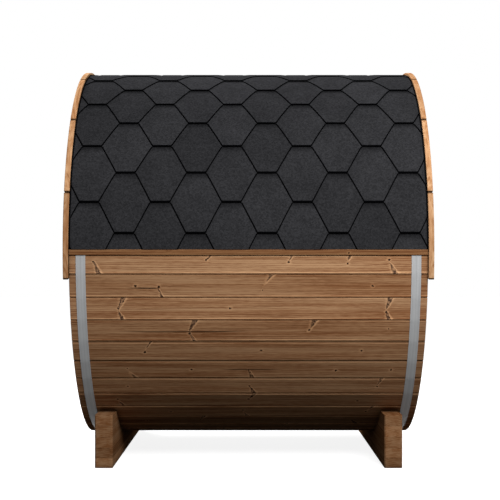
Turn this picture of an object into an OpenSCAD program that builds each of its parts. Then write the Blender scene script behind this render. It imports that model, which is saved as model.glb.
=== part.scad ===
// Barrel sauna: a cylinder of bevelled wooden staves lying on two cradles, drawn tight by two
// steel hoops, closed by boarded end walls that sit in a groove, and covered from the eaves up
// with bitumen shingles between two rims of curved fascia boards.
// Millimetres, +Z up. The barrel lies along X and the ground is at Z = 0.

/* [Barrel] */
// Distance across the flat outer faces of opposite staves
barrel_d = 1950; // [1800:10:2100]
// Length of the staves
barrel_len = 1708; // [1500:2:2400]
// Number of staves round the barrel
stave_count = 54; // [48:6:60]
// Thickness of a stave
stave_t = 40; // [34:1:48]
// Gap left in each joint between two boards
board_gap = 0.3; // [0.2:0.1:0.6]
// Width of the bevel along a board's outer edges
board_bevel = 4.5; // [1:0.5:6]
// Thickness of the tongue along a board's edge
tongue_h = 8; // [6:1:12]
// How far the tongue reaches out of the board
tongue_l = 6; // [4:1:9]
// Clearance round the tongue in its groove
tongue_clear = 0.3; // [0.2:0.1:0.6]

/* [Cradles] */
// Height of the barrel's belly above the ground
belly_clear = 100; // [60:5:160]
// Length of a cradle, across the barrel
cradle_len = 1450; // [1300:10:1600]
// Thickness of a cradle, along the barrel
cradle_t = 88; // [60:2:120]
// Height of a cradle at its ends
cradle_h = 263; // [200:1:320]
// Distance from a hoop to the cradle beside it
cradle_space = 12; // [4:1:60]
// Width of the bevel on a cradle's upright end edges
cradle_arris = 6; // [1:0.5:10]
// Clearance between a cradle's seat and the staves' corners
seat_clear = 0.2; // [0.1:0.1:0.5]

/* [Hoops] */
// Width of a steel hoop
hoop_w = 46; // [30:1:60]
// Thickness of a steel hoop
hoop_t = 1.5; // [1:0.25:3]
// Distance from the end of the staves to the hoop
hoop_inset = 33; // [15:1:60]
// Clearance of the pieces that lie over a hoop
hoop_clear = 0.2; // [0.1:0.1:0.5]
// Height of the lugs that close a hoop under the belly
lug_h = 28; // [22:1:40]
// Thickness of a lug
lug_t = 4; // [3:0.5:6]
// Open space between the two lugs of a hoop
lug_space = 16; // [8:1:30]
// Diameter of the clamp bolt
bolt_d = 8; // [6:1:10]
// Clearance of the bolt in its holes
bolt_clear = 0.2; // [0.1:0.1:0.5]
// Width of the bolt's head and nut across their corners
head_d = 15; // [12:0.5:18]
// Height of the bolt's head and nut
head_h = 6; // [4:0.5:8]
// How far the bolt reaches past its nut
bolt_spare = 8; // [2:1:15]

/* [Roof] */
// Thickness of the shingle covering over the staves
roof_t = 11; // [8:1:20]
// Height of the shingles' lower edge above the barrel's axis
eave_rise = 5; // [0:1:20]
// Width of the strip of shingles along the ridge
ridge_w = 100; // [80:5:300]
// Height of the ridge strip above the shingles
ridge_t = 4; // [3:0.5:6]
// Clearance of the ridge strip over the shingles
ridge_clear = 0.2; // [0.1:0.1:0.5]
// Height of the eave batten
batten_h = 27; // [22:1:45]
// How far the eave batten stands out from the staves
batten_t = 8; // [6:1:20]

/* [Fascia] */
// Number of fascia boards round each end
fascia_count = 8; // [6:2:10]
// Width of a fascia board, measured towards the barrel's axis
fascia_w = 60; // [45:1:90]
// Thickness of a fascia board, along the barrel
fascia_t = 26; // [18:1:40]
// How far the fascia stands above the shingles
fascia_lip = 9; // [6:1:20]
// How far the fascia reaches below the barrel's axis
fascia_drop = 138; // [60:2:250]
// Open joint between two fascia boards
fascia_gap = 8; // [1:0.5:12]

/* [End walls] */
// Thickness of the end wall boards
wall_t = 40; // [28:1:45]
// Distance from the end of the staves to the end wall
wall_inset = 70; // [60:1:160]
// Depth of the groove in the staves that holds an end wall
croze_depth = 10; // [6:1:14]
// Clearance of an end wall in its groove
croze_clear = 0.3; // [0.2:0.1:0.6]
// Number of boards across an end wall
wall_boards = 16; // [12:2:20]

/* [Door] */
// Number of wall boards that the doorway takes the place of
door_boards = 6; // [4:2:6]
// Distance from the doorway's corners to the staves
door_corner = 20; // [10:1:60]
// Width of a door frame piece
jamb_w = 45; // [38:1:60]
// How far the door frame stands out of the wall on each side
jamb_proud = 12; // [6:1:16]
// Width of the rebate that the door closes into
rebate_w = 12; // [8:1:18]
// Room left behind the door in the rebate
rebate_room = 2; // [1:0.5:4]
// Gap round the door in its frame
leaf_gap = 3; // [2:0.5:5]
// Thickness of the door's boards
leaf_t = 30; // [24:1:36]
// Number of boards in the door
leaf_boards = 5; // [4:1:6]
// Number of ledges across the inside of the door
ledge_count = 3; // [2:1:4]
// Height of a ledge
ledge_h = 110; // [80:5:140]
// Thickness of a ledge
ledge_t = 22; // [16:1:28]
// Length of the door handle's grip
handle_len = 320; // [200:10:500]
// Diameter of the door handle's grip
handle_d = 28; // [22:1:36]
// Distance between the posts that hold the grip
post_pitch = 200; // [120:10:280]
// Diameter of the posts that hold the grip
post_d = 18; // [12:1:22]
// Distance from the door to the middle of the grip
handle_out = 50; // [40:1:60]
// Distance from the door's edge to the middle of the grip
handle_edge = 62; // [40:1:100]
// Number of hinges
hinge_count = 3; // [2:1:4]
// Height of a hinge
hinge_h = 90; // [60:5:120]
// Width of one hinge plate
hinge_plate = 28; // [20:1:32]
// Thickness of a hinge plate
hinge_t = 2.5; // [2:0.5:4]
// Diameter of a hinge knuckle
knuckle_d = 13; // [10:1:18]

/* [Hidden] */

$fn = 360;
stave_colour = "#9b6f4c";
trim_colour = "#b98a60";
wall_colour = "#a67a54";
shingle_colour = "#2b2c2e";
steel_colour = "#a9adb0";

barrel_r = barrel_d / 2;
axis_z = belly_clear + barrel_r;
half_len = barrel_len / 2;
// Half the angle that one stave takes up
half_angle = 180 / stave_count;
inner_r = barrel_r - stave_t;
// Radius of the corners that the bevels leave on the ring of staves
corner_r = norm([barrel_r, barrel_r * tan(half_angle) - board_gap / 2 - board_bevel]);
hoop_mid = half_len - hoop_inset - hoop_w / 2;
cradle_mid = hoop_mid - hoop_w / 2 - cradle_space - cradle_t / 2;
lug_low = belly_clear - hoop_t - lug_h;
// Height of a clamp bolt, in the middle of the lugs
bolt_z = lug_low + lug_h / 2;

roof_r = barrel_r + roof_t;
eave_z = axis_z + eave_rise;
// Half the angle that the ridge strip takes up
ridge_angle = ridge_w / 2 / roof_r * 180 / PI;
fascia_r = roof_r + fascia_lip;
// Angles of the fascia: where it ends below the horizontal, an open joint, and a board with its joint
fascia_low = asin(fascia_drop / fascia_r);
fascia_joint = fascia_gap / fascia_r * 180 / PI;
fascia_step = (180 + 2 * fascia_low + fascia_joint) / fascia_count;

croze_r = inner_r + croze_depth;
wall_r = croze_r - croze_clear;
wall_out = half_len - wall_inset;
wall_in = wall_out - wall_t;
wall_board_w = 2 * wall_r / wall_boards;

// First and last of the boards that the doorway cuts, counted from the front
door_first = (wall_boards - door_boards) / 2;
door_last = door_first + door_boards - 1;
doorway_half = door_boards / 2 * wall_board_w;
doorway_half_h = sqrt(pow(inner_r, 2) - pow(doorway_half, 2)) - door_corner;
doorway_low = axis_z - doorway_half_h;
doorway_high = axis_z + doorway_half_h;
frame_out = wall_out + jamb_proud;
frame_in = wall_in - jamb_proud;
rebate_x = frame_out - leaf_t - rebate_room;
// Distance from the doorway's edge to the edge of the door
leaf_margin = jamb_w - rebate_w + leaf_gap;
leaf_half = doorway_half - leaf_margin;
leaf_low = doorway_low + leaf_margin;
leaf_high = doorway_high - leaf_margin;
leaf_in = frame_out - leaf_t;
leaf_board_w = 2 * leaf_half / leaf_boards;
// A ledge stops short of the rebate by the same gap as the door's edge
ledge_half = leaf_half - rebate_w;

// Room that a cutting shape reaches past what it cuts
past = 5;

// A flat shape about the barrel's axis, drawn in Y and Z, carried along X from one place to another
module along_x(from, to)
  translate([from, 0, axis_z]) rotate([90, 0, 90]) linear_extrude(to - from) children();

// A polygon with one side to each stave, all at the same distance from the axis
module stave_polygon(distance)
  polygon([for (i = [0 : stave_count - 1])
    distance / cos(half_angle) * [cos(2 * half_angle * i), sin(2 * half_angle * i)]]);

// A board's section: its outer face at x = face, bevelled there, its sides leaning in by the taper
module board_section(face, thick, half_w, taper) {
  function side(x) = half_w - (face - x) * tan(taper) - board_gap / 2;
  upper = [[face, side(face) - board_bevel], [face - board_bevel, side(face - board_bevel)],
           [face - thick, side(face - thick)]];
  lower = [for (i = [len(upper) - 1 : -1 : 0]) [upper[i].x, -upper[i].y]];
  polygon(concat(upper, lower));
}

// A tongue that stands on the side y < 0 of a joint and crosses it
module tongue(mid)
  translate([mid - tongue_h / 2, -board_gap / 2 - past])
    square([tongue_h, past + tongue_l]);

// The groove that takes the tongue, cut into the side y > 0 of a joint
module groove(mid)
  translate([mid - tongue_h / 2 - tongue_clear, -past])
    square([tongue_h + 2 * tongue_clear, past - board_gap / 2 + tongue_l + tongue_clear]);

// A stave's section, lying on the +Y side of the axis, with its sides on radii of the barrel
module stave_section()
  difference() {
    union() {
      board_section(barrel_r, stave_t, barrel_r * tan(half_angle), half_angle);
      rotate(half_angle) tongue(barrel_r - stave_t / 2);
    }
    rotate(-half_angle) groove(barrel_r - stave_t / 2);
  }

// A flat board's section, with its outer face at x = face and its width along Y
module flat_board_section(face, thick, w)
  difference() {
    union() {
      board_section(face, thick, w / 2, 0);
      translate([0, w / 2]) tongue(face - thick / 2);
    }
    translate([0, -w / 2]) groove(face - thick / 2);
  }

// One sixth of the barrel's staves, with the grooves that take both end walls
module staves(sixth) {
  per_sixth = stave_count / 6;
  color(stave_colour)
    difference() {
      for (i = [sixth * per_sixth : (sixth + 1) * per_sixth - 1])
        along_x(-half_len, half_len) rotate((2 * i + 1) * half_angle) stave_section();
      along_x(wall_in - croze_clear, wall_out + croze_clear) circle(croze_r);
      along_x(-wall_out - croze_clear, -wall_in + croze_clear) circle(croze_r);
    }
}

// A rectangle in plan with its four corners cut
module bevelled_plan(w, l, cut)
  polygon([[w / 2, l / 2 - cut], [w / 2 - cut, l / 2], [cut - w / 2, l / 2], [-w / 2, l / 2 - cut],
           [-w / 2, cut - l / 2], [cut - w / 2, -l / 2], [w / 2 - cut, -l / 2], [w / 2, cut - l / 2]]);

// A beam on edge with a seat cut to the barrel's curve
module cradle(mid)
  color(trim_colour)
    difference() {
      translate([mid, 0, 0]) linear_extrude(cradle_h) bevelled_plan(cradle_t, cradle_len, cradle_arris);
      along_x(mid - cradle_t / 2 - past, mid + cradle_t / 2 + past) circle(corner_r + seat_clear);
    }

// The space that a hoop takes up, grown by a clearance
module hoop_room(mid, clear)
  along_x(mid - hoop_w / 2 - clear, mid + hoop_w / 2 + clear) stave_polygon(barrel_r + hoop_t + clear);

// A flat steel band round the staves, parted under the belly and turned down there as two lugs
module hoop(mid)
  color(steel_colour)
    difference() {
      union() {
        difference() {
          hoop_room(mid, 0);
          along_x(mid - hoop_w / 2 - past, mid + hoop_w / 2 + past) stave_polygon(barrel_r);
        }
        for (side = [-1, 1])
          translate([mid - hoop_w / 2, side * (lug_space + lug_t) / 2 - lug_t / 2, lug_low])
            cube([hoop_w, lug_t, lug_h + hoop_t / 2]);
      }
      translate([mid - hoop_w / 2 - past, -lug_space / 2, belly_clear - hoop_t - past])
        cube([hoop_w + 2 * past, lug_space, hoop_t + 2 * past]);
      translate([mid, 0, bolt_z]) rotate([90, 0, 0])
        cylinder(d = bolt_d + 2 * bolt_clear, h = lug_space + 2 * lug_t + 2 * past, center = true);
    }

// The bolts that draw the lugs together, each with a hexagon head and a nut
module hoop_bolts() {
  half_grip = lug_space / 2 + lug_t;
  color(steel_colour)
    for (mid = [-hoop_mid, hoop_mid])
      translate([mid, 0, bolt_z]) rotate([90, 0, 0]) {
        translate([0, 0, -half_grip]) cylinder(d = bolt_d, h = 2 * half_grip + head_h + bolt_spare);
        translate([0, 0, -half_grip - head_h]) cylinder(d = head_d, h = head_h, $fn = 6);
        translate([0, 0, half_grip]) cylinder(d = head_d, h = head_h, $fn = 6);
      }
}

// One side of the shingle covering, from the eave to the ridge, lying on the staves and over the hoops
module shingles(side)
  color(shingle_colour)
    intersection() {
      difference() {
        along_x(-half_len, half_len) circle(roof_r);
        along_x(-half_len - past, half_len + past) stave_polygon(barrel_r);
        for (mid = [-hoop_mid, hoop_mid]) hoop_room(mid, hoop_clear);
      }
      translate([-half_len - past, side > 0 ? board_gap / 2 : -board_gap / 2 - 2 * roof_r, eave_z])
        cube([barrel_len + 2 * past, 2 * roof_r, 2 * roof_r]);
    }

// A ring's sector between two radii and two angles
module sector(r_in, r_out, from, to)
  intersection() {
    difference() {
      circle(r_out);
      circle(r_in);
    }
    polygon(concat([[0, 0]], [for (angle = [from, (from + to) / 2, to])
      2 * r_out * [cos(angle), sin(angle)]]));
  }

// A strip of shingles that covers the joint of the two sides
module ridge_strip()
  color(shingle_colour)
    along_x(-half_len, half_len)
      sector(roof_r + ridge_clear, roof_r + ridge_t, 90 - ridge_angle, 90 + ridge_angle);

// The strip of wood under the shingles' lower edge, fitted to the staves and over the hoops
module eave_batten(side)
  color(trim_colour)
    difference() {
      translate([-half_len, side > 0 ? barrel_r - past : -barrel_r - batten_t, eave_z - batten_h])
        cube([barrel_len, batten_t + past, batten_h]);
      along_x(-half_len - past, half_len + past) stave_polygon(barrel_r);
      for (mid = [-hoop_mid, hoop_mid]) hoop_room(mid, hoop_clear);
    }

// The curved boards of one quarter rim: sectors of a ring, all equally long, with open joints between them
module fascia(end, side) {
  from = end > 0 ? half_len : -half_len - fascia_t;
  color(trim_colour)
    for (i = [0 : fascia_count / 2 - 1]) {
      low = i * fascia_step - fascia_low;
      high = low + fascia_step - fascia_joint;
      along_x(from, from + fascia_t)
        mirror([side > 0 ? 0 : 1, 0]) sector(fascia_r - fascia_w, fascia_r, low, high);
    }
}

// Upright boards of an end wall, numbered across Y, cut to the round that sits in the staves' groove
module end_wall(end, first, last, low = 0, high = 2 * axis_z)
  color(wall_colour)
    intersection() {
      along_x(end > 0 ? wall_in : -wall_out, end > 0 ? wall_out : -wall_in) circle(wall_r);
      for (i = [first : last])
        translate([0, (i + 0.5) * wall_board_w - wall_r, low]) rotate(end > 0 ? 0 : 180)
          linear_extrude(high - low) flat_board_section(wall_out, wall_t, wall_board_w);
    }

// Boards of the end wall with the doorway, which is cut through them
module door_wall(first, last, low = 0, high = 2 * axis_z)
  color(wall_colour)
    difference() {
      end_wall(1, first, last, low, high);
      translate([wall_in - past, -doorway_half, doorway_low])
        cube([wall_t + 2 * past, 2 * doorway_half, doorway_high - doorway_low]);
    }

// A length of door frame with the rebate on its +Y side, its back at y = 0, standing along Z
module frame_piece(length)
  linear_extrude(length)
    polygon([[frame_in, 0], [frame_out, 0], [frame_out, jamb_w - rebate_w], [rebate_x, jamb_w - rebate_w],
             [rebate_x, jamb_w], [frame_in, jamb_w]]);

module door_jamb(side)
  color(trim_colour)
    mirror([0, side > 0 ? 1 : 0, 0])
      translate([0, -doorway_half, doorway_low]) frame_piece(doorway_high - doorway_low);

// A frame piece that lies between the jambs, fitted round their rebates, with its back at y = 0
module cross_piece() {
  half = doorway_half - jamb_w + rebate_w;
  color(trim_colour)
    difference() {
      translate([0, 0, -half]) frame_piece(2 * half);
      for (side = [-1, 1])
        translate([frame_in - past, -past, side * doorway_half - jamb_w])
          cube([rebate_x - frame_in + past, jamb_w + 2 * past, 2 * jamb_w]);
    }
}

module door_sill() translate([0, 0, doorway_low]) rotate([90, 0, 0]) cross_piece();

module door_head() translate([0, 0, doorway_high]) rotate([-90, 0, 0]) cross_piece();

// The door's upright boards
module door_leaf_boards()
  color(wall_colour)
    intersection() {
      translate([leaf_in - past, -leaf_half, leaf_low])
        cube([leaf_t + 2 * past, 2 * leaf_half, leaf_high - leaf_low]);
      for (i = [0 : leaf_boards - 1])
        translate([0, (i + 0.5) * leaf_board_w - leaf_half, leaf_low])
          linear_extrude(leaf_high - leaf_low) flat_board_section(frame_out, leaf_t, leaf_board_w);
    }

// The bars across the inside of the door that hold its boards
module door_ledges() {
  first = leaf_low + ledge_h;
  pitch = (leaf_high - leaf_low - 2 * ledge_h) / (ledge_count - 1);
  color(wall_colour)
    for (i = [0 : ledge_count - 1])
      translate([leaf_in - ledge_t, -ledge_half, first + i * pitch - ledge_h / 2])
        cube([ledge_t, 2 * ledge_half, ledge_h]);
}

// An upright round grip on two posts
module door_handle()
  color(trim_colour)
    translate([frame_out, handle_edge - leaf_half, axis_z]) {
      translate([handle_out, 0, -handle_len / 2]) cylinder(d = handle_d, h = handle_len);
      for (side = [-1, 1])
        translate([0, 0, side * post_pitch / 2]) rotate([0, 90, 0]) cylinder(d = post_d, h = handle_out);
    }

// Face hinges: a plate on the door, a plate on the jamb and a knuckle over the gap between them
module door_hinges() {
  first = leaf_low + ledge_h;
  pitch = (leaf_high - leaf_low - 2 * ledge_h) / (hinge_count - 1);
  color(steel_colour)
    for (i = [0 : hinge_count - 1])
      translate([frame_out, leaf_half + leaf_gap / 2, first + i * pitch - hinge_h / 2]) {
        for (side = [-1, 1])
          translate([0, side > 0 ? leaf_gap / 2 : -leaf_gap / 2 - hinge_plate, 0])
            cube([hinge_t, hinge_plate, hinge_h]);
        translate([knuckle_d / 2, 0, 0]) cylinder(d = knuckle_d, h = hinge_h);
      }
}

staves(0);  // upper_back_staves
staves(1);  // crown_staves
staves(2);  // upper_front_staves
staves(3);  // lower_front_staves
staves(4);  // belly_staves
staves(5);  // lower_back_staves
cradle(-cradle_mid);  // left_cradle
cradle(cradle_mid);  // right_cradle
hoop(-hoop_mid);  // left_hoop
hoop(hoop_mid);  // right_hoop
hoop_bolts();
shingles(-1);  // front_shingles
shingles(1);  // back_shingles
ridge_strip();
eave_batten(-1);  // front_eave_batten
eave_batten(1);  // back_eave_batten
fascia(-1, -1);  // left_front_fascia
fascia(-1, 1);  // left_back_fascia
fascia(1, -1);  // right_front_fascia
fascia(1, 1);  // right_back_fascia
end_wall(-1, 0, wall_boards - 1);  // left_wall_boards
door_wall(0, door_first - 1);  // front_door_wall_boards
door_wall(door_last + 1, wall_boards - 1);  // back_door_wall_boards
door_wall(door_first, door_last, low = doorway_high);  // over_door_boards
door_wall(door_first, door_last, high = doorway_low);  // under_door_boards
door_jamb(-1);  // door_front_jamb
door_jamb(1);  // door_back_jamb
door_head();
door_sill();
door_leaf_boards();
door_ledges();
door_handle();
door_hinges();
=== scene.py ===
import math
from functools import partial

import bmesh
import bpy
import numpy as np
from bpy.props import FloatProperty, FloatVectorProperty, IntProperty, PointerProperty
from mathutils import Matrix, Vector


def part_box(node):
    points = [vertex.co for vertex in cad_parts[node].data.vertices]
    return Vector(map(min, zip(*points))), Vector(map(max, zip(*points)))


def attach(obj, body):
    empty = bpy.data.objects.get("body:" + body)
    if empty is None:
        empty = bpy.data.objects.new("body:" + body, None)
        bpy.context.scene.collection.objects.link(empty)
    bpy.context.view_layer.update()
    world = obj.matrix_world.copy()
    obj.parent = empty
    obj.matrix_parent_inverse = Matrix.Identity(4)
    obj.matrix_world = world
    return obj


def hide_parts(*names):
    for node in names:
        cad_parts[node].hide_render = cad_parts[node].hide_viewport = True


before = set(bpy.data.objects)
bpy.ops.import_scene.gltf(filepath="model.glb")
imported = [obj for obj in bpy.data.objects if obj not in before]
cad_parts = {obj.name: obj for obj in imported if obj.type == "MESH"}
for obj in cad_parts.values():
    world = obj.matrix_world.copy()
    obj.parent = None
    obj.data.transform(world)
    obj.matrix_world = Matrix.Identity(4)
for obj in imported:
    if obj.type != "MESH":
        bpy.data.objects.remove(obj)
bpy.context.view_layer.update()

bl_info = {
    "name": "Barrel Sauna",
    "version": (1, 0, 0),
    "blender": (4, 5, 0),
    "location": "View3D > Sidebar > Sauna",
    "description": "Finishes a barrel sauna round its frame, from the staves to the door hinges",
    "category": "Object",
}

# The frame's own sizes, in metres
AXIS_Z = (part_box("crown_staves")[1].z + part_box("belly_staves")[0].z) / 2
BARREL_R = (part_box("crown_staves")[1].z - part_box("belly_staves")[0].z) / 2
HALF_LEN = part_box("crown_staves")[1].x
ROOF_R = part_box("front_shingles")[1].z - AXIS_Z
EAVE_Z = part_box("front_shingles")[0].z
RIDGE_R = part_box("ridge_strip")[1].z - AXIS_Z
RIDGE_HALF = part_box("ridge_strip")[1].y
FASCIA_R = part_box("left_front_fascia")[1].z - AXIS_Z
FASCIA_DROP = AXIS_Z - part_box("left_front_fascia")[0].z
WALL_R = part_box("left_wall_boards")[1].z - AXIS_Z
STAVE_NODES = ("upper_back_staves", "crown_staves", "upper_front_staves",
               "lower_front_staves", "belly_staves", "lower_back_staves")
CENTRE = np.array([0, 0, AXIS_Z])
AXES = X_AXIS, Y_AXIS, Z_AXIS = np.eye(3)

# Kinds of mesh layer, by how many numbers a point has in it
LAYER_KINDS = {3: ("FLOAT_VECTOR", "vector"), 4: ("FLOAT_COLOR", "color")}
# Points closer than this are one point, and edges sharper than this stay sharp
MERGE, SHARP = 0.00001, math.radians(28)
# What stays open of a joint at its inner edge, where boards close up so that no light shows through
CLOSED = 0.0001
# Rounding along the edges of planed bars
PLANED = 0.002
# How much the tone of shingles differs
FELT_SPREAD = 0.07
# A shingle's underside lies this many sheets below its face
SHEET_BODY = 0.95
WHITE = (1.0, 1.0, 1.0, 1.0)
# Painted light across a board's edge, from its inner corner over the bevel to its face: a painted highlight
# along an edge that sticks out to the light, painted shade in the groove beside one that lies back, and on a
# board that faces down both, with less painted shade and a brighter painted highlight the more it faces down
LIT_EDGE = (0.0, -0.8, 0.3, 0.8, 1.4, 2.4, 0.0)
SHADED_EDGE = (0.0, -1.8, -1.4, -0.6, -0.2, 0.0, 0.0)
SHADED_LIT_EDGE = (0.0, -2.4, -2.6, -1.7, -0.6, 2.6, 0.0)
GLINTING_EDGE = (0.0, -1.0, 0.4, 1.6, 2.6, 4.2, 0.0)


def linear(code):
    """Turns an sRGB hex colour into linear red, green and blue."""
    part = np.array([int(code[i:i + 2], 16) for i in (1, 3, 5)]) / 255
    return tuple(np.where(part <= 0.04045, part / 12.92, ((part + 0.055) / 1.055) ** 2.4).tolist())


def metres(name, description, default):
    """A property that holds a length in metres."""
    return FloatProperty(name=name, description=description, default=default, unit="LENGTH")


def watts(name, description, default):
    """A property that holds the power of a light."""
    return FloatProperty(name=name, description=description, default=default, unit="POWER")


def pieces(name, description, default, least=2):
    """A property that holds a number of pieces."""
    return IntProperty(name=name, description=description, default=default, min=least, subtype="UNSIGNED")


def tint(name, description, code):
    """A property that holds a colour, given as an sRGB hex value."""
    return FloatVectorProperty(name=name, description=description, default=linear(code), subtype="COLOR")


class SaunaTimber(bpy.types.PropertyGroup):
    """Sizes and colours of everything sawn from wood"""
    stave_count: pieces("Staves", "Number of staves round the barrel", 54, 12)
    stave_thick: metres("Stave thickness", "Thickness of a stave", 0.04)
    joint_gap: metres("Joint", "Gap in the joint between two boards", 0.0006)
    bevel: metres("Bevel", "Width of the bevel along a board's outer edges", 0.0045)
    ease: metres("Eased edge", "Width of the easing on sawn ends", 0.0015)
    cradle_arris: metres("Cradle arris", "Width of the bevel on a cradle's edges", 0.006)
    wall_count: pieces("Wall boards", "Number of boards across an end wall", 16, 4)
    door_count: pieces("Doorway boards", "Number of wall boards that the doorway cuts", 6)
    rebate_width: metres("Rebate width", "Width of the rebate in the door frame", 0.012)
    rebate_depth: metres("Rebate depth", "Depth of the rebate in the door frame", 0.032)
    leaf_count: pieces("Door boards", "Number of boards in the door", 5)
    ledge_count: pieces("Ledges", "Number of ledges across the inside of the door", 3)
    ledge_height: metres("Ledge height", "Height of a door ledge", 0.11)
    post_pitch: metres("Handle posts", "Distance between the posts of the handle", 0.2)
    post_width: metres("Post diameter", "Diameter of a handle post", 0.018)
    fascia_count: pieces("Fascia boards", "Number of fascia boards round each end", 8)
    fascia_width: metres("Fascia width", "Width of a fascia board", 0.06)
    fascia_gap: metres("Fascia joint", "Open joint between two fascia boards", 0.008)
    ring_gap: metres("Growth ring", "Distance between growth rings as drawn", 0.0095)
    whorl_gap: metres("Whorl spacing", "Distance along a log between rings of branches", 0.52)
    stave_pale: tint("Stave pale", "Spring wood of the staves", "#b48c68")
    stave_deep: tint("Stave deep", "Summer wood of the staves", "#845a3c")
    trim_pale: tint("Trim pale", "Spring wood of the fascia and the door frame", "#c79e77")
    trim_deep: tint("Trim deep", "Summer wood of the fascia and the door frame", "#a67750")
    beam_pale: tint("Beam pale", "Spring wood of the cradles", "#957152")
    beam_deep: tint("Beam deep", "Summer wood of the cradles", "#7a5233")
    batten_pale: tint("Batten pale", "Spring wood of the battens", "#8c6645")
    batten_deep: tint("Batten deep", "Summer wood of the battens", "#663f26")
    branch: tint("Branch", "Wood of a branch cut lengthwise", "#5f483a")
    knot: tint("Knot", "Heart of a knot", "#241611")


class SaunaRoof(bpy.types.PropertyGroup):
    """Sizes and colours of the shingle roof"""
    tab_pitch: metres("Tab pitch", "Distance between tabs along a course", 0.3394)
    tab_flat: metres("Tab flat", "Length of a tab's level lower edge", 0.0935)
    tab_wide: metres("Tab width", "Width of a tab where it is widest", 0.247)
    exposure: metres("Exposure", "Distance from one course to the next, along the roof", 0.1513)
    first_rise: metres("First course", "Height along the roof of the first whole tabs above the axis", 0.0802)
    even_shift: metres("Even shift", "Place along the barrel of the even courses' tabs", 0.0886)
    odd_shift: metres("Odd shift", "Place along the barrel of the odd courses' tabs", -0.081)
    sheet: metres("Sheet", "Thickness of one shingle", 0.0031)
    # The dark strip along a cut edge is partly bare bitumen and partly painted shade along the step
    cut_edge: metres("Cut edge", "Width of the bare bitumen along a cut edge", 0.009)
    cap_length: metres("Ridge cap", "Length of one ridge cap", 0.34)
    grit: tint("Grit", "Mineral grit on the shingles", "#2d2d2f")
    bitumen: tint("Bitumen", "Bare bitumen along a cut edge", "#040405")


class SaunaSteel(bpy.types.PropertyGroup):
    """Sizes and colours of the steel"""
    band: metres("Band", "Thickness of a hoop", 0.0015)
    lug_gap: metres("Lug gap", "Open space between a hoop's two lugs", 0.016)
    lug: metres("Lug", "Thickness of a lug", 0.004)
    bolt: metres("Bolt", "Diameter of a clamp bolt", 0.008)
    head: metres("Head", "Width of the bolt's head and nut across corners", 0.015)
    head_height: metres("Head height", "Height of the bolt's head and nut", 0.006)
    hinge_count: pieces("Hinges", "Number of door hinges", 3)
    hinge_height: metres("Hinge height", "Height of a hinge", 0.09)
    hinge_plate: metres("Hinge plate", "Thickness of a hinge plate", 0.0025)
    hinge_gap: metres("Hinge gap", "Gap between a hinge's two plates", 0.003)
    screw: metres("Screw head", "Diameter of a hinge screw's head", 0.008)
    colour: tint("Steel", "Brushed steel", "#acadae")


class SaunaStage(bpy.types.PropertyGroup):
    """Camera, floor and light"""
    distance: metres("Distance", "From the barrel's axis to the camera", 6.552)
    height: metres("Height", "Height of the camera", 0.9675)
    aside: metres("Aside", "Camera's place along the barrel", 0.0072)
    lens: FloatProperty(name="Lens", description="Focal length of the camera", default=84.57, unit="CAMERA")
    rise: FloatProperty(
        name="Rise", description="Upward shift of the camera's frame", default=0.0463, subtype="FACTOR")
    key_power: watts("Key", "Power of the soft light at the front right", 198)
    back_power: watts("Back", "Power of the soft light behind", 660)
    door_power: watts("Door", "Power of the soft light on the door end", 90)
    sky: FloatProperty(
        name="Sky", description="Strength of the even light all round", default=0.33, subtype="FACTOR")


def carried(shapes, places, axes, origin):
    """Carries a closed profile along a straight line.

    Point (i, j) lies places[i, j] along the first axis, shapes[i, j, 0] along the second and
    shapes[i, j, 1] along the third, all counted from the origin.
    """
    return origin + places[..., None] * axes[0] + shapes[..., :1] * axes[1] + shapes[..., 1:] * axes[2]


def headings(profile):
    """Directions of a closed profile's sides: from each point to the next, divided by the distance."""
    side = np.roll(profile, -1, 0) - profile
    return side / np.linalg.norm(side, axis=1, keepdims=True)


def inset(profile, distance):
    """Moves each side of an anticlockwise profile inwards by a distance.

    A corner moves along the sum of its two sides' normals, divided by one plus their dot product.
    """
    normal = headings(profile)[:, ::-1] * (-1, 1)
    before = np.roll(normal, 1, 0)
    return profile + distance * (normal + before) / (1 + (normal * before).sum(1, keepdims=True))


def softened(profile, radius):
    """Cuts each corner of a profile into two points, one radius before it and one radius after it."""
    ahead = headings(profile)
    behind = np.roll(ahead, 1, 0)
    return np.stack([profile - radius * behind, profile + radius * ahead], 1).reshape(-1, 2)


def rectangle(left, low, right, high):
    """The four corners of a rectangle, anticlockwise."""
    return np.array([[left, low], [right, low], [right, high], [left, high]], float)


def circle(radius, sides=24):
    """Points round a circle, anticlockwise."""
    angle = np.arange(sides) * 2 * math.pi / sides
    return radius * np.stack([np.cos(angle), np.sin(angle)], 1)


def around(angle):
    """The direction away from the barrel's axis at an angle, counted from the back up over the top."""
    angle = np.asarray(angle)
    return np.stack([np.zeros_like(angle), np.cos(angle), np.sin(angle)], -1)


def ring_corner():
    """Radius of the corners that the bevels leave on the ring of staves."""
    timber = bpy.context.scene.sauna_timber
    half_face = BARREL_R * math.tan(math.pi / timber.stave_count) - timber.joint_gap / 2 - timber.bevel
    return math.hypot(BARREL_R, half_face)


def rings(profile, start, end, ease, stops=()):
    """Rings of a profile that runs from start to end with eased rims, and each point's place along the way.

    The first and last rings are inset by the ease, and the rings one ease further in are full size. Further
    full rings stand at the stops. Start and end may differ from point to point, and where they meet the
    rings meet too.
    """
    start, end = (np.broadcast_to(np.asarray(x, float), len(profile)) for x in (start, end))
    middle = (start + end) / 2
    first, last = np.minimum(start + ease, middle), np.maximum(end - ease, middle)
    between = [np.clip(stop, first, last) for stop in stops]
    small = inset(profile, ease)
    shapes = np.stack([small, *[profile] * (len(between) + 2), small])
    return shapes, np.stack([start, first, *between, last, end])


def bar(profile, start, end, ease, axes, origin):
    """Carries a profile from start to end with eased rims."""
    return carried(*rings(profile, start, end, ease), np.asarray(axes), np.asarray(origin))


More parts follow.
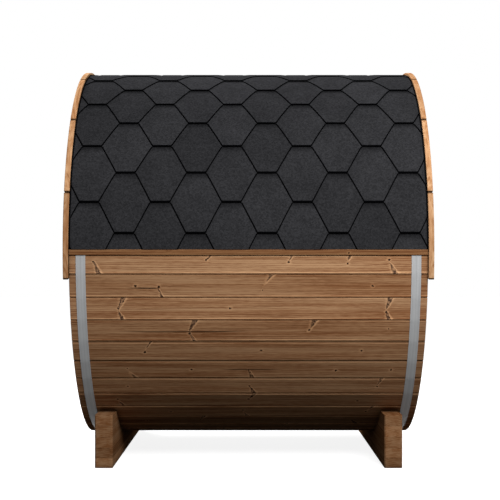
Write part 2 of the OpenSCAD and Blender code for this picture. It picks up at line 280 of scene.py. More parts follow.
def board_profile(outer, inner, thick, bevel):
    """Section of a board: width across, outer face at 0, inner face at minus the thickness.

    From its inner corner up, each side has the foot of a bevel, three points that round its arris, and two
    points on the face, where the painted light along the edge is at its full and where it ends.
    """
    lean = (outer - inner) / 2 / thick
    foot = np.array([outer / 2 - lean * bevel, -bevel])
    crest = np.array([outer / 2 - bevel, 0])
    arris = [foot + 0.7 * (crest - foot), crest + (-0.03 * bevel, -0.12 * bevel), crest - (0.42 * bevel, 0)]
    face = [crest - (1.1 * bevel, 0), crest - (2.2 * bevel, 0)]
    right = np.array([[inner / 2, -thick], foot, *arris, *face])
    return np.concatenate([right, right[::-1] * (-1, 1)])


def edge_lighting(right, left):
    """Painted light and shade at the points of a board's section, from those of its right and left edges."""
    return np.concatenate([right, left[::-1]])


def sleeve(count, sides):
    """Index arrays of a carried profile: the quads between neighbouring rings, and the two end caps."""
    ring = np.arange(count * sides).reshape(count, sides)
    ahead = np.roll(ring, -1, axis=1)
    quads = np.stack([ring[:-1], ahead[:-1], ahead[1:], ring[1:]], -1).reshape(-1, 4)
    return quads, [ring[0, ::-1], ring[-1]]


def slab(rows, columns):
    """Quads of a closed slab whose upper grid of points is followed by its lower grid."""
    top = np.arange(rows * columns).reshape(rows, columns)
    low = top + rows * columns
    rim = np.concatenate([top[0], top[1:, -1], top[-1, -2::-1], top[-2:0:-1, 0]])
    upper = np.stack([top[:-1, :-1], top[:-1, 1:], top[1:, 1:], top[1:, :-1]], -1).reshape(-1, 4)
    lower = np.stack([low[:-1, :-1], low[1:, :-1], low[1:, 1:], low[:-1, 1:]], -1).reshape(-1, 4)
    ahead = np.roll(rim, -1)
    edge = np.stack([ahead, rim, rim + rows * columns, ahead + rows * columns], -1)
    return np.concatenate([upper, lower, edge])


def build(name, points, quads, caps, layers, material, nodes):
    """Puts worked-out arrays into a mesh piece that rides on the frame and stands for CAD nodes."""
    corners = np.concatenate([quads.ravel(), *caps]).astype(np.int32)
    sizes = np.array([4] * len(quads) + [len(cap) for cap in caps], np.int32)
    mesh = bpy.data.meshes.new(name)
    mesh.vertices.add(len(points))
    mesh.vertices.foreach_set("co", points.astype(np.float32).ravel())
    mesh.loops.add(len(corners))
    mesh.loops.foreach_set("vertex_index", corners)
    mesh.polygons.add(len(sizes))
    mesh.polygons.foreach_set("loop_start", np.cumsum(sizes) - sizes)
    mesh.update(calc_edges=True)
    for title, values in layers.items():
        kind, field = LAYER_KINDS[values.shape[1]]
        layer = mesh.attributes.new(title, kind, "POINT")
        layer.data.foreach_set(field, values.astype(np.float32).ravel())
    shell = bmesh.new()
    shell.from_mesh(mesh)
    bmesh.ops.remove_doubles(shell, verts=shell.verts, dist=MERGE)
    bmesh.ops.recalc_face_normals(shell, faces=shell.faces)
    shell.to_mesh(mesh)
    shell.free()
    mesh.shade_smooth()
    mesh.set_sharp_from_angle(angle=SHARP)
    mesh.materials.append(material)
    piece = bpy.data.objects.new(name, mesh)
    bpy.context.scene.collection.objects.link(piece)
    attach(piece, "root")
    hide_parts(*nodes)


def cut_marks(rows, columns, end):
    """1 along the two sides of a grid of points and in its row with the number end, and 0 elsewhere."""
    marks = np.zeros((rows, columns))
    marks[end] = 1
    marks[:, [0, -1]] = 1
    return marks


def bent(x, out, upper, lower):
    """Upper and lower grids of slabs bent round the barrel, as one array by slab, side, row and column.

    A point lies x along the barrel's axis, and the upper or lower radius away from it in the direction out.
    """
    x, upper, lower = (each[..., None] for each in np.broadcast_arrays(x, upper, lower))
    grids = np.stack([CENTRE + x * X_AXIS + radius * out for radius in (upper, lower)], -4)
    return grids.reshape(-1, *grids.shape[-4:])


def felt_slabs(name, grids, tone, tab_shadow, on_edge, felt, cad_node):
    """Makes a piece of many thin slabs from the upper and lower grid of each, with the marks on the felt."""
    count, _, rows, columns, _ = grids.shape
    quads = np.arange(count)[:, None, None] * 2 * rows * columns + slab(rows, columns)
    tone = tone[:, None, None, None]
    marks = np.stack(np.broadcast_arrays(tone, tab_shadow, on_edge, np.zeros(grids.shape[:-1])), -1)
    points = grids.reshape(-1, 3)
    layers = {"grain": points, "board": marks.reshape(-1, 4)}
    build(name, points, quads.reshape(-1, 4), [], layers, felt, [cad_node])


class Stack:
    """Carried profiles gathered into one mesh, each point with its place in the stuff it was cut from."""

    # Logs differ by a whole number of whorls below the first number, and boards by their place along the log,
    # in metres up to the second, so that they show different branches and grain
    LOGS, APART = 900, 9
    # Whorls in a log, the shares of the usual spacing they stand apart by, and the stretch beside a whorl, in
    # metres, in which the log isn't stretched
    WHORLS = 12
    WHORL_SHARE = (0.5, 1.15)
    WHORL_CLEAR = 0.05
    # How often a whorl has an upper branch, a lower branch and a dot, and their girth
    GROWN = (0.25, 0.25, 0.7)
    GIRTH = (0.6, 1.1)
    # How far the pith lies below the face, and how its place spreads across a board
    PITH_DEPTH = (0.002, 0.011)
    PITH_SPREAD = 0.007
    # How much the tone differs, the warmth with its spread, and how much warmer a board is that is deeper
    TONE_SPREAD, WARMTH, WARMER = 0.1, (0.5, 0.2), 2.5
    # A log goes on past its first and last whorl for this many metres, which count as this part of a whorl
    TAIL, TAIL_COUNT = 2, 0.35

    def __init__(self, seed=0):
        self.chance = np.random.default_rng(seed)
        self.points, self.quads, self.caps = [], [], []
        self.grain, self.marks, self.whorls = [], [], []
        self.total = 0

    def add(self, stations, place=None, marks=(1, 0, 0, 0), whorl=(0, 0, 0, 0)):
        """Adds one carried profile: its points by ring and side, with their places, marks and whorls."""
        count, sides = stations.shape[:2]
        points = stations.reshape(-1, 3)
        quads, caps = sleeve(count, sides)
        self.points.append(points)
        self.quads.append(quads + self.total)
        self.caps += [cap + self.total for cap in caps]
        self.grain.append(points if place is None else place.reshape(-1, 3))
        self.marks.append(np.broadcast_to(marks, (count, sides, 4)).reshape(-1, 4))
        self.whorls.append(np.broadcast_to(whorl, (count, sides, 4)).reshape(-1, 4))
        self.total += len(points)

    def girths(self, count):
        """Girths of the upper branch, the lower branch and the dot of some whorls, 0 where there is none."""
        return self.chance.uniform(*self.GIRTH, (count, 3)) * (self.chance.random((count, 3)) < self.GROWN)

    def chosen(self, start):
        """Tone, warmth, pith and whorls of a board drawn by chance. Deeper boards are redder."""
        tone = self.chance.normal(1, self.TONE_SPREAD)
        warmth = np.clip(self.chance.normal(*self.WARMTH) + self.WARMER * (1 - tone), 0, 1)
        gap = bpy.context.scene.sauna_timber.whorl_gap
        steps = self.chance.uniform(*self.WHORL_SHARE, self.WHORLS) * gap
        places = start - self.chance.uniform(0, gap) + np.cumsum(steps)
        whorls = np.column_stack([places, self.girths(self.WHORLS)])
        pith = self.chance.normal(0, self.PITH_SPREAD), [(0.0, self.chance.uniform(*self.PITH_DEPTH))]
        return tone, warmth, pith, whorls

    def board(self, profile, start, end, ease, axes, origin, edge_light=0.0, picked=None):
        """Adds a board sawn along the grain, by its section, its ends, and its axes along, across and out.

        A picked board gives its tone, its warmth, its pith and its whorls. The pith has a place across the
        board, and its depth below the face at places along it. A whorl is a place along the board and the
        girths of its upper branch, its lower branch and its dot. Whorls are numbered by whole numbers, which
        run evenly close to a whorl and take up the slack in between.
        """
        gap = bpy.context.scene.sauna_timber.whorl_gap
        tone, warmth, (aside, depths), whorls = picked or self.chosen(np.min(start))
        whorls = np.array(whorls)
        near = np.array([-self.WHORL_CLEAR, self.WHORL_CLEAR])
        stops = (whorls[:, :1] + near).ravel()
        numbers = (np.arange(len(whorls))[:, None] + near / gap).ravel()
        inside = (stops > np.min(start)) & (stops < np.max(end))
        shapes, places = rings(profile, start, end, ease, stops[inside])
        count = np.interp(places, [stops[0] - self.TAIL, *stops, stops[-1] + self.TAIL],
                          [numbers[0] - self.TAIL_COUNT, *numbers, numbers[-1] + self.TAIL_COUNT])
        girths = whorls[np.clip(np.rint(count).astype(int), 0, len(whorls) - 1), 1:]
        middle = np.append((profile.max(0)[0] + profile.min(0)[0]) / 2, profile.max(0)[1])
        place = np.concatenate([places[..., None], shapes - middle], -1)
        ends = np.zeros(places.shape)
        ends[[0, -1]] = 1
        stations = carried(shapes, places, np.asarray(axes), np.asarray(origin))
        pith = aside, np.interp(places, *np.transpose(depths))
        self.lay(stations, place, (tone, warmth, ends, edge_light), pith, count, girths)

    def sawn(self, stations, along, across, ends, depth=None):
        """Adds a board sawn to an outline, whose face looks along the cross product of along and across."""
        axes = np.stack([along, across, np.cross(along, across)])
        place = stations @ axes.T
        low, high = place.min((0, 1)), place.max((0, 1))
        place = place - ((low + high) / 2 * (1, 1, 0) + high * (0, 0, 1))
        tone, warmth, (aside, depths), _ = self.chosen(0.0)
        pith = aside, depths[0][1] if depth is None else depth
        count = place[..., 0] / bpy.context.scene.sauna_timber.whorl_gap + self.chance.random()
        girths = np.broadcast_to(self.girths(1), (*count.shape, 3))
        self.lay(stations, place, (tone, warmth, ends, 0.0), pith, count, girths)

    def lay(self, stations, place, marks, pith, count, girths):
        """Adds a board at a chance place in a log of its own."""
        shift = np.stack(np.broadcast_arrays(self.chance.uniform(0, self.APART), -pith[0], pith[1]), -1)
        marks = np.stack([np.broadcast_to(mark, count.shape) for mark in marks], -1)
        whorl = np.concatenate([(count + self.chance.integers(self.LOGS))[..., None], girths], -1)
        self.add(stations, place + shift, marks, whorl)

    def finish(self, name, material, slot, *nodes):
        """Makes the mesh piece."""
        layers = {"grain": np.concatenate(self.grain), "board": np.concatenate(self.marks),
                  "whorl": np.concatenate(self.whorls)}
        points, quads = np.concatenate(self.points), np.concatenate(self.quads)
        build(name, points, quads, self.caps, layers, material, nodes)


def node(tree, kind, inputs, out=0, **settings):
    """Adds a shader node with its settings, links or sets its inputs, and returns one of its outputs.

    The kind is the node's name without its prefix, followed by its operation where it has one. Inputs are
    given in their order, or by their names or numbers.
    """
    title, _, operation = kind.partition(" ")
    made = tree.nodes.new("ShaderNode" + title)
    if operation:
        made.operation = operation
    for key, value in settings.items():
        setattr(made, key, value)
    for key, value in inputs.items() if isinstance(inputs, dict) else enumerate(inputs):
        if isinstance(value, bpy.types.NodeSocket):
            tree.links.new(value, made.inputs[key])
        else:
            made.inputs[key].default_value = value
    return made.outputs[out] if made.outputs else None


def bare_material(name):
    """A material with an empty node tree, and what adds nodes to it."""
    material = bpy.data.materials.new(name)
    material.use_nodes = True
    material.node_tree.nodes.clear()
    return material, partial(node, material.node_tree)


def coat(add, looks, relief):
    """Ends a material: a surface with its looks, over fine relief."""
    bump = add("Bump", relief)
    surface = add("BsdfPrincipled", {**looks, "Normal": bump})
    add("OutputMaterial", {"Surface": surface})


def opaque(colour, times=1.0):
    """A linear colour, made brighter or darker, with its alpha."""
    return (*(min(1.0, times * part) for part in colour), 1.0)


def radii_away(add, x, y, radius):
    """Distance from the middle of a branch, counted in its radii."""
    radius = add("Math MAXIMUM", (radius, 0.0002))
    away = add("CombineXYZ", (x, y))
    away = add("VectorMath LENGTH", (away,), "Value")
    return add("Math DIVIDE", (away, radius))


def pine(name, pale, deep):
    """Heat-treated pine, planed and oiled: brown streaks of spring and summer wood along the board.

    The log is solid. Its rings are cylinders round a wandering pith, and its branches stand in whorls that
    lean up the log, so a board sawn through the pith shows slanted spikes, dots, a dark pith line and pale
    flares.
    """
    timber = bpy.context.scene.sauna_timber
    material, add = bare_material(name)
    place = add("Attribute", {}, "Vector", attribute_name="grain")
    marks = add("Attribute", {}, "Color", attribute_name="board")
    edge_light = marks.node.outputs["Alpha"]
    tone, warmth, ends = add("SeparateColor", (marks,)).node.outputs

    # The pith wanders across the board by some millimetres over a stretch of about a metre
    slow = add("VectorMath MULTIPLY", (place, (1.1, 9.0, 9.0)))
    drift = add("TexNoise", {"Vector": slow, "Scale": 1.0, "Detail": 2.0}, "Color")
    sway = add("VectorMath SUBTRACT", (drift, (0.5, 0.5, 0.5)))
    log = add("VectorMath MULTIPLY_ADD", (sway, (0.0, 0.016, 0.006), place))
    length, width, depth = add("SeparateXYZ", (log,)).node.outputs
    flat = add("VectorMath MULTIPLY", (log, (0.0, 1.0, 1.0)))
    radius = add("VectorMath LENGTH", (flat,), "Value")
    turn = add("Math ARCTAN2", (depth, width))

    # Whorls: an upper and a lower branch that lean up the log in the plane of the board, growing thicker
    # outwards, and one that points out of the board as a dot
    grown = add("Attribute", {}, "Color", attribute_name="whorl")
    dot = grown.node.outputs["Alpha"]
    count, upper, lower = add("SeparateColor", (grown,)).node.outputs
    whorl = add("Math ROUND", (count,))
    lot = add("TexWhiteNoise", {"W": whorl}, "Color", noise_dimensions="1D")
    slope, age, jog = add("SeparateColor", (lot,)).node.outputs
    past = add("Math SUBTRACT", (count, whorl))
    past = add("Math MULTIPLY", (past, timber.whorl_gap))
    rough = add("TexNoise", {"Vector": place, "Scale": 95.0, "Detail": 3.0}, "Color")
    rough = add("VectorMath SUBTRACT", (rough, (0.5, 0.5, 0.5)))
    rough_x, rough_y, mottle = add("SeparateXYZ", (rough,)).node.outputs
    past = add("Math MULTIPLY_ADD", (rough_x, 0.018, past))
    above = add("Math GREATER_THAN", (width, 0.0))
    girth = add("Mix", {0: above, 2: lower, 3: upper})
    across = add("Math ABSOLUTE", (width,))
    slope = add("MapRange", (slope, 0.0, 1.0, -0.3, -0.7))
    lean = add("Math MULTIPLY_ADD", (across, slope, past))
    thick = add("Math MULTIPLY_ADD", (across, 0.14, 0.0035))
    thick = add("Math MULTIPLY", (thick, girth))
    away = radii_away(add, lean, depth, thick)
    aside = add("MapRange", (jog, 0.0, 1.0, -0.012, 0.012))
    aside = add("Math SUBTRACT", (width, aside))
    aside = add("Math MULTIPLY_ADD", (rough_y, 0.009, aside))
    dot_r = add("Math MULTIPLY", (dot, 0.0055))
    dot_away = radii_away(add, past, aside, dot_r)
    nearest = add("Math MINIMUM", (away, dot_away))

    # A branch has a dark rim and a patchy grey-brown heart, a dot is black all over, and both throw pale
    # flares, more so on the side they lean to
    heart = add("MapRange", (away, 1.15, 0.8, 0.0, 0.95))
    patchy = add("MapRange", (mottle, -0.13, 0.05, 0.4, 1.0))
    heart = add("Math MULTIPLY", (heart, patchy))
    rim = add("Math SUBTRACT", (away, 0.95))
    rim = add("Math ABSOLUTE", (rim,))
    rim = add("MapRange", (rim, 0.35, 0.05, 0.0, 0.5))
    speck = add("MapRange", (dot_away, 1.2, 0.7, 0.0, 1.0))
    flare = add("MapRange", (away, 2.4, 1.2, 0.0, 0.95))
    sunny = add("MapRange", (lean, -0.004, 0.004, 0.45, 1.0))
    flare = add("Math MULTIPLY", (flare, sunny))
    halo = add("MapRange", (dot_away, 3.0, 1.4, 0.0, 0.35))
    flare = add("Math MAXIMUM", (flare, halo))

    # Rings swell round a branch. They are drawn about four times as wide as real ones, to show at this size
    near = add("Math MULTIPLY_ADD", (nearest, nearest, 3.0))
    swell = add("Math DIVIDE", (0.02, near))
    ring_r = add("Math ADD", (radius, swell))
    fibre_place = add("CombineXYZ", (length, ring_r, turn))

    # Broad bands along the board, fibre streaks about 4 mm wide and short flecks, the last two coarser than
    # real ones so that they show. Both follow the rings round a knot
    patterns = []
    for spot, stretch in ((place, (0.9, 28.0, 28.0)), (fibre_place, (2.6, 240.0, 1.5)),
                          (fibre_place, (24.0, 260.0, 6.0))):
        spot = add("VectorMath MULTIPLY", (spot, stretch))
        patterns.append(add("TexNoise", {"Vector": spot, "Scale": 1.0, "Detail": 2.0}))
    band, fibre, fleck = patterns
    ring = add("Math DIVIDE", (ring_r, timber.ring_gap))
    ring = add("Math MULTIPLY_ADD", (band, 2.0, ring))
    year = add("Math FRACT", (ring,))
    summer = add("Math POWER", (year, 2.2))
    resin = add("MapRange", (fibre, 0.6, 0.78, 0.0, 0.55))
    pith = add("MapRange", (radius, 0.0038, 0.0018, 0.0, 0.88))

    # Colour: spring to summer wood, resin, flares, branches, dots and pith, then the board's own tone
    amount = -2.4
    for pattern, share in ((fibre, 2.2), (fleck, 1.4), (summer, 0.5), (band, 1.8)):
        amount = add("Math MULTIPLY_ADD", (pattern, share, amount))
    age = add("Math MULTIPLY_ADD", (mottle, 3.5, age))
    knot = add("Mix", {0: age, 6: opaque(timber.branch), 7: opaque(timber.knot, 1.5)}, 2, data_type="RGBA")
    dark = add("Math MAXIMUM", (rim, pith))
    dark = add("Math MAXIMUM", (dark, speck))
    wood = opaque(pale)
    for cover, colour in ((amount, opaque(deep)), (resin, opaque(deep, 0.5)), (flare, opaque(pale, 1.45)),
                          (heart, knot), (dark, opaque(timber.knot))):
        wood = add("Mix", {0: cover, 6: wood, 7: colour}, 2, data_type="RGBA")
    ruddy = add("Math MULTIPLY_ADD", (warmth, 0.4, -0.7))
    ruddy = add("Math MULTIPLY_ADD", (band, 1.6, ruddy))
    warm = {0: ruddy, 6: wood, 7: (1.0, 0.86, 0.74, 1.0)}
    wood = add("Mix", warm, 2, data_type="RGBA", blend_type="MULTIPLY")
    shade = add("Math MULTIPLY_ADD", (ends, -0.15, tone))
    # Marks along a board's edges add painted highlights and painted shade on the bevels
    shade = add("Math MULTIPLY_ADD", (edge_light, 0.22, shade))
    shade = add("Math MAXIMUM", (shade, 0.05))
    # Painted shade: wood is darker where another piece stands close, in corners and at contacts
    free = add("AmbientOcclusion", {"Distance": 0.05}, "AO", samples=6)
    free = add("MapRange", (free, 0.2, 0.8, 0.3, 1.0))
    shade = add("Math MULTIPLY", (shade, free))
    wood = add("VectorMath SCALE", {0: wood, "Scale": shade})

    # The wood is dry and has no gloss, so that its shaded sides don't mirror the pale floor
    relief = add("Math MULTIPLY_ADD", (fibre, 0.5, summer))
    coat(add, {"Base Color": wood, "Roughness": 0.8, "Specular IOR Level": 0.0},
         {"Strength": 0.25, "Distance": 0.0006, "Height": relief})
    return material


def mineral_felt(name):
    """Bitumen felt with crushed slate pressed into it: matt charcoal with a fine speckle, black where cut.

    The marks are the tab's tone, 1 where painted shadow falls under the tab above, and 1 along the cut edge.
    """
    roof = bpy.context.scene.sauna_roof
    material, add = bare_material(name)
    spot = add("TexCoord", {}, "Object")
    marks = add("Attribute", {}, "Color", attribute_name="board")
    tone, tab_shadow, edge = add("SeparateColor", (marks,)).node.outputs

    # Grit is 1 to 2 mm across. It is drawn at about 6 mm, so that it shows as a speckle
    grit = add("TexVoronoi", {"Vector": spot, "Scale": 165.0}, "Color")
    grain = add("SeparateColor", (grit,))
    cloud = add("TexNoise", {"Vector": spot, "Scale": 9.0, "Detail": 4.0})
    shade = add("MapRange", (grain, 0.0, 1.0, 0.72, 1.28))
    patch = add("MapRange", (cloud, 0.3, 0.7, 0.9, 1.1))
    shade = add("Math MULTIPLY", (shade, patch))
    shade = add("Math MULTIPLY", (shade, tone))
    colour = add("VectorMath SCALE", {0: tuple(roof.grit), "Scale": shade})
    # Black along cut edges, partly bare bitumen and partly painted shade along each step, and a band of
    # painted shadow under the tab above
    bitumen_and_shade = add("MapRange", (edge, 0.2, 0.4, 0.0, 1.0))
    tab_shadow = add("Math MULTIPLY", (tab_shadow, 0.6))
    bitumen_and_shade = add("Math MAXIMUM", (bitumen_and_shade, tab_shadow))
    # A strip of painted shade runs up beside the fascia, which stands above the shingles
    along = add("SeparateXYZ", (spot,))
    along = add("Math ABSOLUTE", (along,))
    fascia_shade = add("MapRange", (along, HALF_LEN - 0.009, HALF_LEN - 0.007, 0.0, 0.9))
    bitumen_and_shade = add("Math MAXIMUM", (bitumen_and_shade, fascia_shade))
    colour = add("Mix", {0: bitumen_and_shade, 6: colour, 7: opaque(roof.bitumen)}, 2, data_type="RGBA")
    rough = add("MapRange", (grain, 0.0, 1.0, 0.72, 0.95))
    coat(add, {"Base Color": colour, "Roughness": rough, "Specular IOR Level": 0.0},
         {"Strength": 0.5, "Distance": 0.001, "Height": grain})
    return material


def brushed_steel(name):
    """Stainless steel brushed lengthwise: pale satin grey with fine bright and dull lines that way."""
    steel = bpy.context.scene.sauna_steel
    material, add = bare_material(name)
    place = add("Attribute", {}, "Vector", attribute_name="grain")

    # Brush lines are under a millimetre wide. They are drawn at about 3 mm, so that they show
    brush = add("VectorMath MULTIPLY", (place, (2.0, 320.0, 320.0)))
    line = add("TexNoise", {"Vector": brush, "Scale": 1.0, "Detail": 3.0})
    cloud = add("TexNoise", {"Vector": place, "Scale": 6.0, "Detail": 3.0})
    shade = add("MapRange", (line, 0.25, 0.75, 0.8, 1.16))
    colour = add("VectorMath SCALE", {0: tuple(steel.colour), "Scale": shade})
    rough = add("Math MULTIPLY_ADD", (line, 0.16, 0.3))
    rough = add("Math MULTIPLY_ADD", (cloud, 0.12, rough))
    coat(add, {"Base Color": colour, "Metallic": 0.08, "Roughness": rough, "Specular IOR Level": 0.05},
         {"Strength": 0.15, "Distance": 0.0003, "Height": line})
    return material


class SAUNA_OT_staves(bpy.types.Operator):
    """Lay the ring of bevelled staves, an equal share to each of the frame's six nodes"""
    bl_idname = "sauna.staves"
    bl_label = "Lay the staves"

    # Boards picked for the side that faces the viewer, by their number round the ring: tone, warmth, pith
    # and whorls. Most have the pith at an even depth
    DEEP = [(0.0, 0.004)]
    PICKED = {
        27: (0.98, 0.0, (0.006, DEEP), ((-0.736, 0, 1, 0.8), (-0.2, 1, 0, 0.9), (0.191, 0.9, 0, 1),
                                        (0.472, 1.1, 0, 0.8), (0.667, 0, 1, 1))),
        28: (0.84, 0.8, (-0.009, [(-0.62, 0.007), (-0.55, 0.0), (-0.42, 0.0), (-0.36, 0.008)]),
             ((-0.538, 0, 0, 1.1), (-0.428, 0, 0.8, 1.1), (0.067, 0.9, 0, 0.5), (0.591, 0, 0, 1))),
        29: (1.1, 0.2, (-0.006, DEEP), ((-0.624, 1, 1, 0.8), (-0.088, 0, 0, 1.1), (0.658, 1, 1, 0.9))),
        30: (0.93, 0.7, (-0.002, [(-0.7, 0.006), (-0.5, 0.001), (-0.24, 0.0), (0.1, 0.006)]),
             ((-0.286, 1, 0.7, 1), (0.291, 1.1, 0, 1), (0.675, 0, 0, 0.8))),
        31: (0.92, 0.6, (0.004, DEEP), ((-0.505, 0.6, 0, 1.1), (0.062, 0, 0, 1.1), (0.548, 0, 0, 1))),
        32: (0.97, 1.0, (0.0, [(-0.3, 0.008), (-0.06, 0.0005), (0.06, 0.0005), (0.3, 0.008)]),
             ((-0.595, 0, 1, 0.7), (-0.281, 0, 0, 1), (0.0, 0, 0.9, 0.6), (0.429, 0, 0, 0.9),
              (0.7, 0, 0, 1))),
        33: (1.3, 0.6, (0.003, DEEP), ((-0.6, 0, 0, 1), (0.005, 0, 1, 1), (0.639, 0.8, 0, 0.9))),
        34: (1.02, 0.5, (0.0, DEEP), ((-0.66, 0, 0.8, 1), (0.0, 0.8, 0, 1), (0.55, 0, 0, 1))),
        35: (1.25, 0.5, (0.0, DEEP), ((-0.4, 0, 0, 1), (-0.03, 0, 0.8, 0.8), (0.6, 0.7, 0, 1))),
    }
    # Down to the first angle below level a board's lower edge gets a painted highlight, and further down its
    # upper edge, which gets a brighter painted highlight from the second angle on
    TURN, STEEP = math.radians(27), math.radians(46)

    def execute(self, context):
        timber = context.scene.sauna_timber
        wood = pine("heat_treated_pine_staves", timber.stave_pale, timber.stave_deep)
        half_angle = math.pi / timber.stave_count
        outer = 2 * BARREL_R * math.tan(half_angle) - timber.joint_gap
        inner = 2 * (BARREL_R - timber.stave_thick) * math.tan(half_angle) - CLOSED
        profile = board_profile(outer, inner, timber.stave_thick, timber.bevel)
        share = timber.stave_count // len(STAVE_NODES)
        for sixth, name in enumerate(STAVE_NODES):
            stack = Stack(seed=sixth + 1)
            for stave in range(sixth * share, (sixth + 1) * share):
                out = around((2 * stave + 1) * half_angle)
                across = np.cross(out, X_AXIS)
                down = math.asin(-out[2])
                # Painted highlight and painted shade on each edge, by how the board faces the light
                upper, lower = SHADED_EDGE, LIT_EDGE
                if down > self.TURN:
                    upper, lower = GLINTING_EDGE if down > self.STEEP else SHADED_LIT_EDGE, SHADED_EDGE
                edge_light = edge_lighting(upper, lower) if across[2] > 0 else edge_lighting(lower, upper)
                stack.board(profile, -HALF_LEN, HALF_LEN, timber.ease, (X_AXIS, across, out),
                            CENTRE + BARREL_R * out, edge_light, self.PICKED.get(stave))
            stack.finish(name.replace("staves", "stave_boards"), wood, "stave_wood", name)
        return {"FINISHED"}


class SAUNA_OT_cradles(bpy.types.Operator):
    """Set the two cradles, beams glued from lamellas with a seat cut to the barrel's curve"""
    bl_idname = "sauna.cradles"
    bl_label = "Set the cradles"

    # Whole lamellas below the seat, lamellas above that which the seat parts, and points along a seat
    WHOLE, PARTED, SEAT = 2, 3, 17
    # Half the thickness of a glue line, and the easing of a lamella's end edges beside it
    GLUE, EASE = 0.0001, 0.0012
    # Lamellas come from the outside of a log: so far from the pith their ends show flat arcs
    PITH = (0.09, 0.2)

    def execute(self, context):
        timber = context.scene.sauna_timber
        wood = pine("heat_treated_pine_beams", timber.beam_pale, timber.beam_deep)
        arris, dip = timber.cradle_arris, AXIS_Z - ring_corner()
        for seed, name in enumerate(("left_cradle", "right_cradle"), 21):
            low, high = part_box(name)
            below = np.linspace(low.z, dip, self.WHOLE + 1)
            heights = np.concatenate([below, np.linspace(dip, high.z, self.PARTED + 1)[1:]])
            places = np.array([low.x, low.x + arris, high.x - arris, high.x])[:, None]
            stack = Stack(seed)
            for foot, head in zip(heights[:-1] + self.GLUE, heights[1:] - self.GLUE):
                for outline in self.lamella(high.y, foot, head):
                    # Upright end edges are cut back by the arris on both sides of the beam
                    near = np.clip(outline, arris - high.y, high.y - arris)
                    near[:, 1] = outline[:, 1]
                    shapes = np.stack([near, outline, outline, near])
                    stations = carried(shapes, np.repeat(places, len(outline), 1), AXES, 0)
                    # Sawn ends count as ends up to just past their arris
                    ends = np.abs(stations[..., 1]) > high.y - 1.1 * arris
                    stack.sawn(stations, Y_AXIS, -X_AXIS, ends, stack.chance.uniform(*self.PITH))
            stack.finish(name + "_beam", wood, "trim_wood", name)
        return {"FINISHED"}

    def lamella(self, half, foot, head):
        """Outlines of one lamella from the side: a whole bar, or what the seat leaves at the front and back.

        The seat is an arc about the barrel's axis, from the height of the foot to that of the head.
        """
        corner = ring_corner()
        if head < AXIS_Z - corner + self.GLUE:
            return [softened(rectangle(-half, foot, half, head), self.EASE)]
        angle = np.linspace(*np.arccos((AXIS_Z - np.array([foot, head])) / corner), self.SEAT)
        seat = np.stack([-corner * np.sin(angle), AXIS_Z - corner * np.cos(angle)], 1)
        end = [[-half + self.EASE, head], [-half, head - self.EASE], [-half, foot + self.EASE],
               [-half + self.EASE, foot]]
        front = np.concatenate([seat, end])
        return [front, front[::-1] * (-1, 1)]


class SAUNA_OT_hoops(bpy.types.Operator):
    """Draw the two steel hoops round the staves, with their clamp lugs and bolts"""
    bl_idname = "sauna.hoops"
    bl_label = "Draw the hoops"

    # Rings of a band's section to each stave
    FINE = 8
    # Easing of a bolt's ends, and of the corners and rims of its head and nut
    BOLT_EASE, HEAD_CORNER, HEAD_EASE = 0.001, 0.0006, 0.0008

    def execute(self, context):
        steel, timber = context.scene.sauna_steel, context.scene.sauna_timber
        metal = brushed_steel("brushed_stainless_hoops")
        bolts = Stack()
        bolt_low, bolt_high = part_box("hoop_bolts")
        bolt_z = (bolt_low.z + bolt_high.z) / 2
        crosswise = (Y_AXIS, X_AXIS, Z_AXIS)
        ease = steel.band / 4
        inside, grip = steel.lug_gap / 2, steel.lug_gap / 2 + steel.lug
        # A band follows the staves' flats: apothem over the cosine of the angle from a stave's middle, up to
        # the corners that the bevels leave
        step = 2 * math.pi / timber.stave_count
        start = -math.pi / 2 + inside / BARREL_R
        angle = np.linspace(start, math.pi - start, self.FINE * timber.stave_count + 1)
        from_middle = (angle / step % 1 - 0.5) * step
        flats = np.minimum(BARREL_R / np.cos(from_middle), ring_corner())
        for name in ("left_hoop", "right_hoop"):
            low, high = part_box(name)
            middle, half = (low.x + high.x) / 2, (high.x - low.x) / 2
            section = softened(rectangle(-half, 0, half, steel.band), ease)
            reach = (flats[:, None] + section[:, 1])[..., None]
            stations = CENTRE + (middle + section[:, :1]) * X_AXIS + reach * around(angle)[:, None]
            place = np.stack(np.broadcast_arrays(angle[:, None] * BARREL_R, *section.T), -1)
            hoop = Stack()
            hoop.add(stations, place)
            lug = softened(rectangle(-half, low.z, half, AXIS_Z - BARREL_R), steel.lug)
            for side in (-1, 1):
                hoop.add(bar(lug, inside, grip, ease, (side * Y_AXIS, X_AXIS, Z_AXIS), middle * X_AXIS))
            hoop.finish(name + "_band", metal, "hoop_steel", name)

            centre = (middle, 0, bolt_z)
            bolts.add(bar(circle(steel.bolt / 2), bolt_low.y, grip, self.BOLT_EASE, crosswise, centre))
            hexagon = softened(circle(steel.head / 2, 6), self.HEAD_CORNER)
            for foot in (grip, -grip - steel.head_height):
                head = foot + steel.head_height
                bolts.add(bar(hexagon, foot, head, self.HEAD_EASE, crosswise, centre))
        bolts.finish("clamp_bolts", metal, "hoop_steel", "hoop_bolts")
        return {"FINISHED"}


